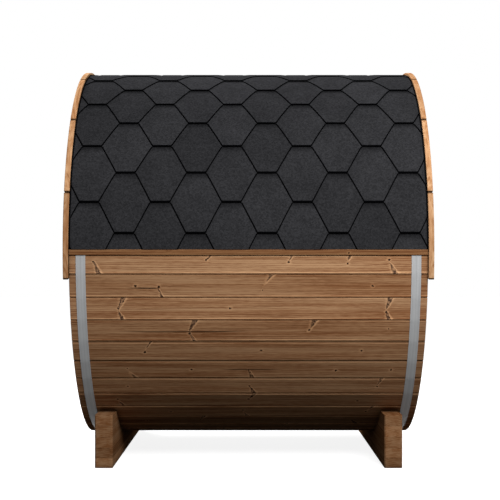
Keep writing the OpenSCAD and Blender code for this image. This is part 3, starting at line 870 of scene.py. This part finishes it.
class SAUNA_OT_shingles(bpy.types.Operator):
    """Lay overlapping courses of six-sided shingle tabs on both sides of the roof"""
    bl_idname = "sauna.shingles"
    bl_label = "Lay the shingles"

    # Courses are counted from the first whole tabs above the eave. The two below it are cut off there
    FIRST, LAST = -2, 9
    # Columns of tabs on each side of the middle
    COLUMNS = 4
    # Slit between neighbouring heads, and the height of the step from a tab to its head, in courses
    SLIT, STEP = 0.0004, 0.03
    # How much lower a tab lies along its cut edges, in sheets, and how much wider its lower edge's dark strip
    # shows, which is partly painted shade under the step
    DIP, WIDER = 0.3, 1.5

    def execute(self, context):
        roof = context.scene.sauna_roof
        felt = mineral_felt("mineral_felt_shingles")
        for seed, (side, name) in enumerate(((-1, "front"), (1, "back")), 31):
            grids, tab_shadow, on_edge = self.tabs(roof, side)
            tone = np.random.default_rng(seed).normal(1, FELT_SPREAD, len(grids))
            whole = np.ptp(grids[..., 0], axis=(1, 2, 3)) > 2 * roof.cut_edge
            felt_slabs(name + "_shingle_tabs", grids[whole], tone[whole], tab_shadow, on_edge, felt,
                       name + "_shingles")
        return {"FINISHED"}

    def tabs(self, roof, side):
        """Upper and lower grids of every tab on one side, where a tab has painted shadow, and where it is
        cut.

        A tab's height v runs from 0 at its lower edge over 1, where it is widest, to 2 under the second
        course above. Its half width grows evenly up to v = 1, and above that it is half a pitch less the
        slit. Its radius falls by one sheet a course, so each course lies on the one below. Everything is cut
        at the eave, at the ridge and at the ends of the barrel.
        """
        edge = roof.cut_edge
        low_edge = self.WIDER * edge / roof.exposure
        heights = np.array([0, low_edge, 0.2, 0.4, 0.6, 0.8, 1, 1 + self.STEP, 1.4, 1.78, 2, 2.1])
        spread = np.array([-1, -1, -0.4, 0, 0.4, 1, 1])
        margin = np.array([0, edge, 0, 0, 0, -edge, 0])
        course = np.arange(self.FIRST, self.LAST + 1)[:, None, None, None]
        column = np.arange(-self.COLUMNS, self.COLUMNS + 1)[None, :, None, None]
        eave = math.asin((EAVE_Z - AXIS_Z) / ROOF_R)
        first, step = roof.first_rise / ROOF_R, roof.exposure / ROOF_R
        angle = np.clip(first + (course + heights[:, None]) * step, eave, math.pi / 2)
        v = (angle - first) / step - course
        flared = roof.tab_flat / 2 + v * (roof.tab_wide - roof.tab_flat) / 2
        half = np.where(v > 1 + self.STEP / 2, roof.tab_pitch / 2 - self.SLIT, flared)
        middle = np.where(course % 2 == 0, roof.even_shift, roof.odd_shift) + column * roof.tab_pitch
        x = np.clip(middle + spread * half + margin, -HALF_LEN, HALF_LEN)
        on_edge = cut_marks(len(heights), len(spread), 0)
        tab_shadow = np.zeros_like(on_edge)
        # Painted shadow just under the level lower edge of the tab two courses above
        tab_shadow[-2:, 2:-2] = 1
        upper = ROOF_R - (v + self.DIP * on_edge) * roof.sheet
        lower = ROOF_R - (v + SHEET_BODY) * roof.sheet
        return bent(x, around(angle) * (1, side, 1), upper, lower), tab_shadow, on_edge


class SAUNA_OT_ridge(bpy.types.Operator):
    """Bend ridge caps over the top, each lapping over the next"""
    bl_idname = "sauna.ridge"
    bl_label = "Cap the ridge"

    # How far a cap reaches under the one before it, and points across a cap
    LAP, ACROSS = 0.04, 9
    # How much lower a cap lies at its lapped end and along its cut edges, in sheets
    FALL, DIP = 1.15, 0.2

    def execute(self, context):
        roof = context.scene.sauna_roof
        felt = mineral_felt("mineral_felt_ridge")
        # Along a cap s runs from 0 at its lapped end to 1 at its free end
        count = math.ceil(2 * HALF_LEN / roof.cap_length)
        visible = 2 * HALF_LEN / count
        s = np.array([0, 0.3, 0.65, 1 - roof.cut_edge / visible, 1])[:, None]
        half = math.asin(RIDGE_HALF / RIDGE_R)
        sweep = np.linspace(-half, half, self.ACROSS)
        start = (np.arange(count) * visible - HALF_LEN)[:, None, None]
        lap = np.where(np.arange(count) > 0, self.LAP, 0)[:, None, None]
        x = start - lap + s * (visible + lap)
        on_edge = cut_marks(len(s), len(sweep), -1)
        top = RIDGE_R - roof.sheet * (self.FALL * (1 - s) + self.DIP * on_edge)
        grids = bent(x, around(math.pi / 2 - sweep), top, top - SHEET_BODY * roof.sheet)
        tone = np.random.default_rng(seed=41).normal(1, FELT_SPREAD, count)
        felt_slabs("ridge_caps", grids, tone, 0, on_edge, felt, "ridge_strip")
        return {"FINISHED"}


class SAUNA_OT_battens(bpy.types.Operator):
    """Fix the eave battens under the shingles' lower edges"""
    bl_idname = "sauna.battens"
    bl_label = "Fix the eave battens"

    def execute(self, context):
        timber = context.scene.sauna_timber
        wood = pine("heat_treated_pine_battens", timber.batten_pale, timber.batten_deep)
        for seed, (side, name) in enumerate(((-1, "front_eave_batten"), (1, "back_eave_batten")), 51):
            low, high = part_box(name)
            height, thick = high.z - low.z, high.y - low.y
            profile = softened(rectangle(-height / 2, -thick, height / 2, 0), PLANED)
            face = (0, low.y if side < 0 else high.y, (low.z + high.z) / 2)
            stack = Stack(seed)
            stack.board(profile, low.x, high.x, timber.ease, (X_AXIS, -side * Z_AXIS, side * Y_AXIS), face)
            stack.finish(name + "_strip", wood, "trim_wood", name)
        return {"FINISHED"}


class SAUNA_OT_fascia(bpy.types.Operator):
    """Set the curved fascia boards round both ends of the roof"""
    bl_idname = "sauna.fascia"
    bl_label = "Set the fascia"

    # How far a cut end is darkened, and how dark it is there in a joint and where the end is free
    SOAKED, JOINED, FREE = 0.008, 4.0, 30.0
    # Points along a board's arc between its stained ends
    ARC = 24

    def execute(self, context):
        timber = context.scene.sauna_timber
        wood = pine("heat_treated_pine_fascia", timber.trim_pale, timber.trim_deep)
        droop = math.asin(FASCIA_DROP / FASCIA_R)
        joint, trim = timber.fascia_gap / FASCIA_R, self.SOAKED / FASCIA_R
        step = (math.pi + 2 * droop + joint) / timber.fascia_count
        per_side = timber.fascia_count // 2
        quarters = ((-1, "left_back"), (-1, "left_front"), (1, "right_back"), (1, "right_front"))
        for seed, (end, quarter) in enumerate(quarters, 61):
            name = quarter + "_fascia"
            low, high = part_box(name)
            stack = Stack(seed)
            first = 0 if quarter.endswith("back") else per_side
            for board in range(first, first + per_side):
                start = board * step - droop
                stop = start + step - joint
                # The outline goes out along the outer arc from start to stop, and back along the inner one
                angle = np.concatenate([[start], np.linspace(start + trim, stop - trim, self.ARC), [stop]])
                arc = np.stack([np.cos(angle), np.sin(angle)], 1)
                outline = np.concatenate([FASCIA_R * arc, (FASCIA_R - timber.fascia_width) * arc[::-1]])
                stations = bar(outline, low.x, high.x, PLANED, AXES, CENTRE)
                end_dark = np.zeros(len(angle))
                end_dark[0] = self.JOINED if board > 0 else self.FREE
                end_dark[-1] = self.JOINED if board < timber.fascia_count - 1 else self.FREE
                middle = around((start + stop) / 2)
                stack.sawn(stations, np.cross(X_AXIS, middle), -end * middle,
                           np.concatenate([end_dark, end_dark[::-1]]))
            stack.finish(name + "_boards", wood, "trim_wood", name)
        return {"FINISHED"}


def upright_boards(stack, boards, width, thick, face, start, end, low, high, radius=math.inf):
    """Adds upright boards side by side across Y to a stack.

    Board i has its middle i and a half widths from the start. Its ends lie at the heights low and high, or
    where a circle about the barrel's axis cuts them off: at the axis, less and plus the root of the radius
    squared less y squared. face is the place of the outer face along X, and end is 1 where it looks along X
    and -1 where it looks the other way.
    """
    timber = bpy.context.scene.sauna_timber
    profile = board_profile(width - timber.joint_gap, width - CLOSED, thick, timber.bevel)
    across, out = -end * Y_AXIS, end * X_AXIS
    for board in boards:
        y = start + (board + 0.5) * width
        reach = np.sqrt(np.maximum(radius ** 2 - (y + across[1] * profile[:, 0]) ** 2, 0))
        foot, head = np.maximum(AXIS_Z - reach, low), np.minimum(AXIS_Z + reach, high)
        # Each board gets a painted highlight along one edge and painted shade in the groove of the other
        stack.board(profile, foot, head, timber.ease / 2, (Z_AXIS, across, out), (face, y, 0),
                    edge_lighting(LIT_EDGE, SHADED_EDGE))


class SAUNA_OT_walls(bpy.types.Operator):
    """Stand the upright boards of both end walls, cut round to the staves and square to the doorway"""
    bl_idname = "sauna.walls"
    bl_label = "Stand the end walls"

    def execute(self, context):
        timber = context.scene.sauna_timber
        wood = pine("heat_treated_pine_walls", timber.stave_pale, timber.stave_deep)
        width = 2 * WALL_R / timber.wall_count
        threshold, lintel = (corner.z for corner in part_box("door_front_jamb"))
        first_cut = (timber.wall_count - timber.door_count) // 2
        cut = range(first_cut, first_cut + timber.door_count)
        # Each node's end, its boards counted from the front, and the heights that they are cut off at
        walls = (("left_wall_boards", -1, range(timber.wall_count), -math.inf, math.inf),
                 ("front_door_wall_boards", 1, range(first_cut), -math.inf, math.inf),
                 ("back_door_wall_boards", 1, range(cut.stop, timber.wall_count), -math.inf, math.inf),
                 ("over_door_boards", 1, cut, lintel, math.inf),
                 ("under_door_boards", 1, cut, -math.inf, threshold))
        for seed, (name, end, boards, low, high) in enumerate(walls, 71):
            near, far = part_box(name)
            stack = Stack(seed)
            face = far.x if end > 0 else near.x
            upright_boards(stack, boards, width, far.x - near.x, face, -WALL_R, end, low, high, WALL_R)
            stack.finish(name.replace("boards", "planks"), wood, "wall_wood", name)
        return {"FINISHED"}


class SAUNA_OT_door_frame(bpy.types.Operator):
    """Set the rebated jambs, head and sill in the doorway"""
    bl_idname = "sauna.door_frame"
    bl_label = "Set the door frame"

    def execute(self, context):
        timber = context.scene.sauna_timber
        wood = pine("heat_treated_pine_door_frame", timber.trim_pale, timber.trim_deep)
        jamb_low, jamb_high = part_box("door_front_jamb")
        width = jamb_high.y - jamb_low.y
        stop_x, stop_y = jamb_high.x - timber.rebate_depth, width - timber.rebate_width
        # The section has its back at 0 and its rebate, open to the outside, at the far edge
        corners = [[jamb_low.x, 0], [jamb_high.x, 0], [jamb_high.x, stop_y], [stop_x, stop_y],
                   [stop_x, width], [jamb_low.x, width]]
        section = softened(np.array(corners), PLANED)
        # Points of the section that lie behind the rebate, where sill and head fit in between the jambs
        inner = section[:, 0] < stop_x + 1.5 * PLANED
        rails = (("door_front_jamb", Y_AXIS, Z_AXIS), ("door_back_jamb", -Y_AXIS, Z_AXIS),
                 ("door_sill", Z_AXIS, Y_AXIS), ("door_head", -Z_AXIS, Y_AXIS))
        for seed, (name, inward, lengthwise) in enumerate(rails, 81):
            low, high = (np.array(corner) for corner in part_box(name))
            back = np.where(inward > 0, low, 0) + np.where(inward < 0, high, 0)
            start, stop = low @ lengthwise, high @ lengthwise
            if lengthwise is Y_AXIS:
                start = np.where(inner, start + timber.rebate_width, start)
                stop = np.where(inner, stop - timber.rebate_width, stop)
            stack = Stack(seed)
            stack.board(section, start, stop, timber.ease, (lengthwise, X_AXIS, inward), back)
            stack.finish(name + "_rail", wood, "trim_wood", name)
        return {"FINISHED"}


class SAUNA_OT_door(bpy.types.Operator):
    """Hang the boarded door with its ledges and round wooden handle"""
    bl_idname = "sauna.door"
    bl_label = "Hang the door"

    # Easing of the ledges, of the grip's ends and of the posts' ends
    LEDGE_EASE, GRIP_EASE, POST_EASE = 0.003, 0.005, 0.0005

    def execute(self, context):
        timber = context.scene.sauna_timber
        wood = pine("heat_treated_pine_door", timber.stave_pale, timber.stave_deep)
        low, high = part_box("door_leaf_boards")
        width = (high.y - low.y) / timber.leaf_count
        leaf = Stack(seed=91)
        upright_boards(leaf, range(timber.leaf_count), width, high.x - low.x, high.x, low.y, 1, low.z, high.z)
        leaf.finish("door_leaf_planks", wood, "wall_wood", "door_leaf_boards")

        low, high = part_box("door_ledges")
        half = timber.ledge_height / 2
        ledges = Stack(seed=92)
        profile = softened(rectangle(-half, 0, half, high.x - low.x), self.LEDGE_EASE)
        for z in np.linspace(low.z + half, high.z - half, timber.ledge_count):
            ledges.board(profile, low.y, high.y, self.LEDGE_EASE, (Y_AXIS, Z_AXIS, -X_AXIS), (high.x, 0, z))
        ledges.finish("door_ledge_bars", wood, "wall_wood", "door_ledges")

        low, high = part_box("door_handle")
        radius, y = (high.y - low.y) / 2, (low.y + high.y) / 2
        turned = pine("heat_treated_pine_handle", timber.trim_pale, timber.trim_deep)
        handle = Stack(seed=93)
        grip_x = high.x - radius
        handle.board(circle(radius), low.z, high.z, self.GRIP_EASE, (Z_AXIS, Y_AXIS, X_AXIS), (grip_x, y, 0))
        post = circle(timber.post_width / 2)
        for side in (-1, 1):
            post_z = (low.z + high.z) / 2 + side * timber.post_pitch / 2
            handle.board(post, low.x, grip_x, self.POST_EASE, AXES, (0, y, post_z))
        handle.finish("door_pull", turned, "trim_wood", "door_handle")
        return {"FINISHED"}


class SAUNA_OT_hinges(bpy.types.Operator):
    """Screw on the face hinges: two plates, a parted knuckle and round-headed screws each"""
    bl_idname = "sauna.hinges"
    bl_label = "Screw on the hinges"

    # Parts of a knuckle, half the gap between them, and the easing of their rims
    KNUCKLES, PARTING, KNUCKLE_EASE = 5, 0.0003, 0.0005
    # Easing of a plate's corners and of its rims
    PLATE_CORNER, PLATE_EASE = 0.003, 0.0006
    # Screws down each plate, the sides and height of a screw's head, and the easing of its rim
    SCREWS, SIDES, HEAD, HEAD_EASE = 3, 16, 0.0016, 0.0012
    # How far the screws stand up and down, as a share of half the plate, and aside, as a share of its width
    UPRIGHT, ASIDE = 0.68, 0.16

    def execute(self, context):
        steel = context.scene.sauna_steel
        metal = brushed_steel("brushed_stainless_hinges")
        low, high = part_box("door_hinges")
        half, middle = steel.hinge_height / 2, (low.y + high.y) / 2
        plate, thick = (high.y - low.y - steel.hinge_gap) / 2, steel.hinge_plate
        radius = (high.x - low.x) / 2
        outline = softened(rectangle(-plate / 2, -half, plate / 2, half), self.PLATE_CORNER)
        head = circle(steel.screw / 2, self.SIDES)
        pin = (low.x + radius, middle, 0)
        hinges = Stack()
        for z in np.linspace(low.z + half, high.z - half, steel.hinge_count):
            for side in (-1, 1):
                seat = np.array([low.x, middle + side * (steel.hinge_gap / 2 + plate / 2), z])
                hinges.add(bar(outline, 0, thick, self.PLATE_EASE, AXES, seat))
                for screw in np.linspace(-self.UPRIGHT, self.UPRIGHT, self.SCREWS) * half:
                    spot = seat + (0, side * plate * self.ASIDE, screw)
                    hinges.add(bar(head, thick, thick + self.HEAD, self.HEAD_EASE, AXES, spot))
            joints = np.linspace(z - half, z + half, self.KNUCKLES + 1)
            for start, stop in zip(joints[:-1] + self.PARTING, joints[1:] - self.PARTING):
                hinges.add(bar(circle(radius), start, stop, self.KNUCKLE_EASE, (Z_AXIS, X_AXIS, Y_AXIS), pin))
        hinges.finish("door_hinge_sets", metal, "hinge_steel", "door_hinges")
        return {"FINISHED"}


class SAUNA_OT_stage(bpy.types.Operator):
    """Lay the floor, hang the lights and set the camera"""
    bl_idname = "sauna.stage"
    bl_label = "Set the stage"

    # Half the floor's width, far enough for its edge to meet the pale world, and how far the camera sees
    REACH, SIGHT = 40.0, 200
    # Soft lights: place, the point that it looks at, and width
    LAMPS = {"key": ((1.45, -4.2, 3.3), (0.2, -0.9, 1.1), 1.7),
             "back": ((-3.0, 3.2, 5.3), (0.0, 0.0, 1.4), 2.5),
             "door": ((4.6, 1.4, 2.8), (0.9, 0.0, 1.0), 2.0)}

    def execute(self, context):
        scene, stage = context.scene, context.scene.sauna_stage
        self.floor(scene)
        self.world(scene, stage.sky)
        for name, (place, target, size) in self.LAMPS.items():
            self.lamp(scene, name + "_light", place, target, size, getattr(stage, name + "_power"))
        camera = bpy.data.cameras.new("camera")
        camera.lens = stage.lens
        camera.shift_y = stage.rise
        camera.clip_end = self.SIGHT
        viewer = bpy.data.objects.new("camera", camera)
        viewer.location = (stage.aside, -stage.distance, stage.height)
        viewer.rotation_euler = (math.pi / 2, 0, 0)
        scene.collection.objects.link(viewer)
        scene.camera = viewer
        scene.view_settings.view_transform = "Standard"
        return {"FINISHED"}

    def seen(self, add):
        """1 for rays that show a background: camera, glossy and transmission rays."""
        path = add("LightPath", {}).node.outputs
        shown = add("Math MAXIMUM", (path["Is Camera Ray"], path["Is Glossy Ray"]))
        return add("Math MAXIMUM", (shown, path["Is Transmission Ray"]))

    def floor(self, scene):
        """A pale paper floor: white to the eye with a faint shadow, and dull to the light it throws back."""
        mesh = bpy.data.meshes.new("floor")
        corners = rectangle(-self.REACH, -self.REACH, self.REACH, self.REACH)
        mesh.from_pydata(np.append(corners, np.zeros((4, 1)), 1), [], [(0, 1, 2, 3)])
        material, add = bare_material("pale_paper_floor")
        dull = add("BsdfDiffuse", {"Color": (0.02, 0.02, 0.02, 1.0)})
        paper = add("BsdfDiffuse", {"Color": (0.45, 0.45, 0.45, 1.0)})
        glow = add("Emission", {"Color": WHITE, "Strength": 0.87})
        pale = add("AddShader", (paper, glow))
        surface = add("MixShader", (self.seen(add), dull, pale))
        add("OutputMaterial", {"Surface": surface})
        mesh.materials.append(material)
        plane = bpy.data.objects.new("floor", mesh)
        scene.collection.objects.link(plane)

    def world(self, scene, strength):
        """An even pale world: white to the eye, dimmer as light."""
        world = bpy.data.worlds.new("studio")
        world.use_nodes = True
        world.node_tree.nodes.clear()
        add = partial(node, world.node_tree)
        light = add("Background", {"Color": WHITE, "Strength": strength})
        shown = add("Background", {"Color": WHITE, "Strength": 1.0})
        surface = add("MixShader", (self.seen(add), light, shown))
        add("OutputWorld", {"Surface": surface})
        scene.world = world

    def lamp(self, scene, name, place, target, size, power):
        """A square soft light that looks at a point."""
        light = bpy.data.lights.new(name, "AREA")
        light.size = size
        light.energy = power
        lamp = bpy.data.objects.new(name, light)
        lamp.visible_camera = False
        lamp.location = place
        lamp.rotation_euler = (Vector(target) - Vector(place)).to_track_quat("-Z", "Y").to_euler()
        scene.collection.objects.link(lamp)


STEPS = (SAUNA_OT_staves, SAUNA_OT_cradles, SAUNA_OT_hoops, SAUNA_OT_shingles, SAUNA_OT_ridge,
         SAUNA_OT_battens, SAUNA_OT_fascia, SAUNA_OT_walls, SAUNA_OT_door_frame, SAUNA_OT_door,
         SAUNA_OT_hinges, SAUNA_OT_stage)
GROUPS = {"sauna_timber": SaunaTimber, "sauna_roof": SaunaRoof, "sauna_steel": SaunaSteel,
          "sauna_stage": SaunaStage}


class SAUNA_PT_panel(bpy.types.Panel):
    """Sizes, colours and steps of the barrel sauna"""
    bl_idname = "SAUNA_PT_panel"
    bl_label = "Barrel Sauna"
    bl_space_type = "VIEW_3D"
    bl_region_type = "UI"
    bl_category = "Sauna"

    def draw(self, context):
        for title, group in GROUPS.items():
            box = self.layout.box()
            box.label(text=group.__doc__)
            for name in group.__annotations__:
                box.prop(getattr(context.scene, title), name)
        for step in STEPS:
            self.layout.operator(step.bl_idname)


def register():
    for group in GROUPS.values():
        bpy.utils.register_class(group)
    for title, group in GROUPS.items():
        setattr(bpy.types.Scene, title, PointerProperty(type=group))
    for step in (*STEPS, SAUNA_PT_panel):
        bpy.utils.register_class(step)


def unregister():
    for step in (SAUNA_PT_panel, *reversed(STEPS)):
        bpy.utils.unregister_class(step)
    for title, group in reversed(GROUPS.items()):
        delattr(bpy.types.Scene, title)
        bpy.utils.unregister_class(group)


def main():
    register()
    for step in STEPS:
        getattr(bpy.ops.sauna, step.bl_idname.split(".")[1])()


if __name__ == "__main__":
    main()
